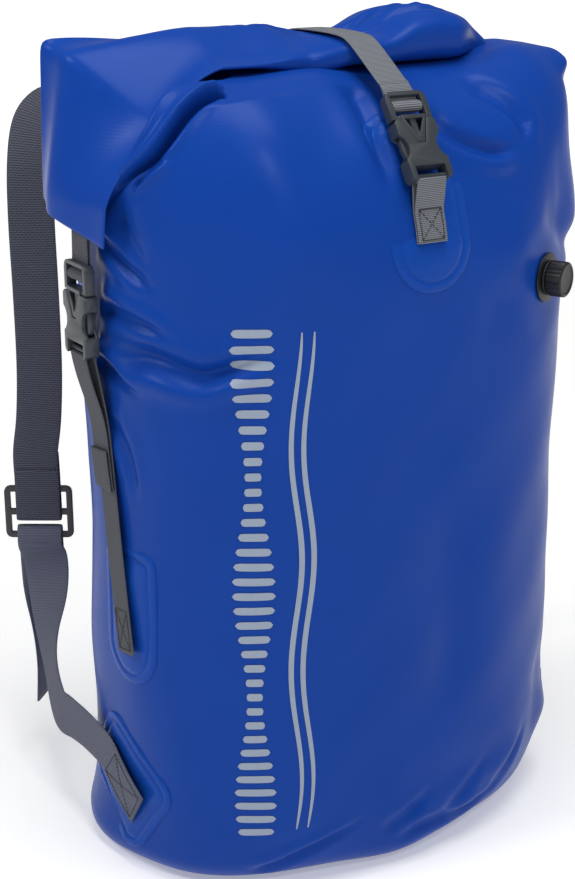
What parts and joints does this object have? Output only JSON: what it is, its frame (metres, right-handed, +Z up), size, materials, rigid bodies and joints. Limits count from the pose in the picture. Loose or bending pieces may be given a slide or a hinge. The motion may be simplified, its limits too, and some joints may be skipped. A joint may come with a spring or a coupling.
{
  "type": "dry bag",
  "caption": "Roll-top waterproof dry bag in coated fabric, stuffed and closed with release buckles over its top and down its sides, with shoulder straps and a screw purge valve.",
  "frame": {"origin": "middle of the underside of the base", "axes": "+Z up, -Y out of the front that carries the closure buckle, +X to the right of someone who looks at the front"},
  "size_m": [0.4379, 0.3563, 0.6523],
  "materials": {
    "coated_fabric": "smooth PVC-coated tarpaulin with a soft sheen",
    "closure_webbing": "woven grey webbing",
    "shoulder_webbing": "woven dark grey webbing",
    "buckle_acetal": "moulded grey acetal, satin",
    "slider_acetal": "moulded black acetal, satin",
    "valve_nylon": "moulded black nylon",
    "black_rubber": "matt black rubber",
    "stiffener_plastic": "natural polyethylene strip"
  },
  "bodies": {
    "root": {"back_patch": "coated_fabric", "bag_wall": "coated_fabric", "base_panel": "coated_fabric", "closure_strap": "closure_webbing", "collar_tab_left": "closure_webbing", "collar_tab_right": "closure_webbing", "front_buckle_socket": "buckle_acetal", "front_patch": "coated_fabric", "front_tab": "closure_webbing", "lower_strap_patch_left": "coated_fabric", "lower_strap_patch_right": "coated_fabric", "mouth_stiffener_front": "stiffener_plastic", "mouth_stiffener_rear": "stiffener_plastic", "rolled_collar": "coated_fabric", "shoulder_strap_lower_left": "shoulder_webbing", "shoulder_strap_lower_right": "shoulder_webbing", "shoulder_strap_upper_left": "shoulder_webbing", "shoulder_strap_upper_right": "shoulder_webbing", "side_buckle_left_plug": "buckle_acetal", "side_buckle_right_plug": "buckle_acetal", "side_patch_left": "coated_fabric", "side_patch_right": "coated_fabric", "side_strap_left": "closure_webbing", "side_strap_right": "closure_webbing", "upper_strap_patch_left": "coated_fabric", "upper_strap_patch_right": "coated_fabric", "valve_flap": "black_rubber", "valve_gasket": "black_rubber", "valve_nut": "valve_nylon", "valve_stem": "valve_nylon"},
    "front_plug": {"front_buckle_plug": "buckle_acetal"},
    "front_prong_left": {"front_buckle_prong_left": "buckle_acetal"},
    "front_prong_right": {"front_buckle_prong_right": "buckle_acetal"},
    "left_socket": {"side_buckle_left_socket": "buckle_acetal"},
    "left_prong_a": {"side_buckle_left_prong_left": "buckle_acetal"},
    "left_prong_b": {"side_buckle_left_prong_right": "buckle_acetal"},
    "right_socket": {"side_buckle_right_socket": "buckle_acetal"},
    "right_prong_a": {"side_buckle_right_prong_left": "buckle_acetal"},
    "right_prong_b": {"side_buckle_right_prong_right": "buckle_acetal"},
    "slider_left": {"slide_adjuster_left": "slider_acetal"},
    "slider_right": {"slide_adjuster_right": "slider_acetal"},
    "cap_seal": {"valve_seal": "black_rubber"},
    "cap": {"valve_cap": "valve_nylon"}
  },
  "joints": [
    {"name": "front_plug_slide", "type": "slide", "parent": "root", "child": "front_plug", "axis": [0, 0.5667, 0.8239], "range_m": [0, 0.036], "deforming": ["closure_strap", "front_buckle_prong_left", "front_buckle_prong_right"]},
    {"name": "front_prong_left_press", "type": "hinge", "parent": "front_plug", "child": "front_prong_left", "pos_m": [-0.0107, -0.10499, 0.58099], "axis": [0, -0.8239, 0.5667], "range_deg": [0, 9], "stiffness_Nm_per_rad": 0.8, "deforming": ["front_buckle_prong_left"]},
    {"name": "front_prong_right_press", "type": "hinge", "parent": "front_plug", "child": "front_prong_right", "pos_m": [0.0107, -0.10499, 0.58099], "axis": [0, 0.8239, -0.5667], "range_deg": [0, 9], "stiffness_Nm_per_rad": 0.8, "deforming": ["front_buckle_prong_right"]},
    {"name": "left_socket_slide", "type": "slide", "parent": "root", "child": "left_socket", "axis": [0, 0, -1], "range_m": [0, 0.036], "deforming": ["side_strap_left", "side_buckle_left_prong_left", "side_buckle_left_prong_right"]},
    {"name": "left_prong_a_press", "type": "hinge", "parent": "root", "child": "left_prong_a", "pos_m": [-0.2087, 0.0107, 0.464], "axis": [-1, 0, 0], "range_deg": [0, 9], "stiffness_Nm_per_rad": 0.8, "deforming": ["side_buckle_left_prong_left"]},
    {"name": "left_prong_b_press", "type": "hinge", "parent": "root", "child": "left_prong_b", "pos_m": [-0.2087, -0.0107, 0.464], "axis": [1, 0, 0], "range_deg": [0, 9], "stiffness_Nm_per_rad": 0.8, "deforming": ["side_buckle_left_prong_right"]},
    {"name": "right_socket_slide", "type": "slide", "parent": "root", "child": "right_socket", "axis": [0, 0, -1], "range_m": [0, 0.036], "deforming": ["side_strap_right", "side_buckle_right_prong_left", "side_buckle_right_prong_right"]},
    {"name": "right_prong_a_press", "type": "hinge", "parent": "root", "child": "right_prong_a", "pos_m": [0.2087, -0.0107, 0.464], "axis": [1, 0, 0], "range_deg": [0, 9], "stiffness_Nm_per_rad": 0.8, "deforming": ["side_buckle_right_prong_left"]},
    {"name": "right_prong_b_press", "type": "hinge", "parent": "root", "child": "right_prong_b", "pos_m": [0.2087, 0.0107, 0.464], "axis": [-1, 0, 0], "range_deg": [0, 9], "stiffness_Nm_per_rad": 0.8, "deforming": ["side_buckle_right_prong_right"]},
    {"name": "slider_left_tilt", "type": "hinge", "parent": "root", "child": "slider_left", "pos_m": [-0.169, 0.19, 0.228], "axis": [0.8434, -0.5373, 0], "range_deg": [-18, 18], "deforming": ["shoulder_strap_upper_left", "shoulder_strap_lower_left"]},
    {"name": "slider_right_tilt", "type": "hinge", "parent": "root", "child": "slider_right", "pos_m": [0.169, 0.19, 0.228], "axis": [0.8434, 0.5373, 0], "range_deg": [-18, 18], "deforming": ["shoulder_strap_upper_right", "shoulder_strap_lower_right"]},
    {"name": "cap_lift", "type": "slide", "parent": "root", "child": "cap_seal", "axis": [0.4348, -0.9005, 0.005], "range_m": [0, 0.00225]},
    {"name": "cap_turn", "type": "hinge", "parent": "cap_seal", "child": "cap", "pos_m": [0.12459, -0.11398, 0.457], "axis": [0.4348, -0.9005, 0.005], "range_deg": [0, 270]}
  ],
  "couplings": [
    {"joint": "front_prong_right_press", "follows": "front_prong_left_press", "ratio": 1},
    {"joint": "left_prong_b_press", "follows": "left_prong_a_press", "ratio": 1},
    {"joint": "right_prong_b_press", "follows": "right_prong_a_press", "ratio": 1},
    {"joint": "cap_turn", "follows": "cap_lift", "rad_per_m": 2094.4}
  ]
}
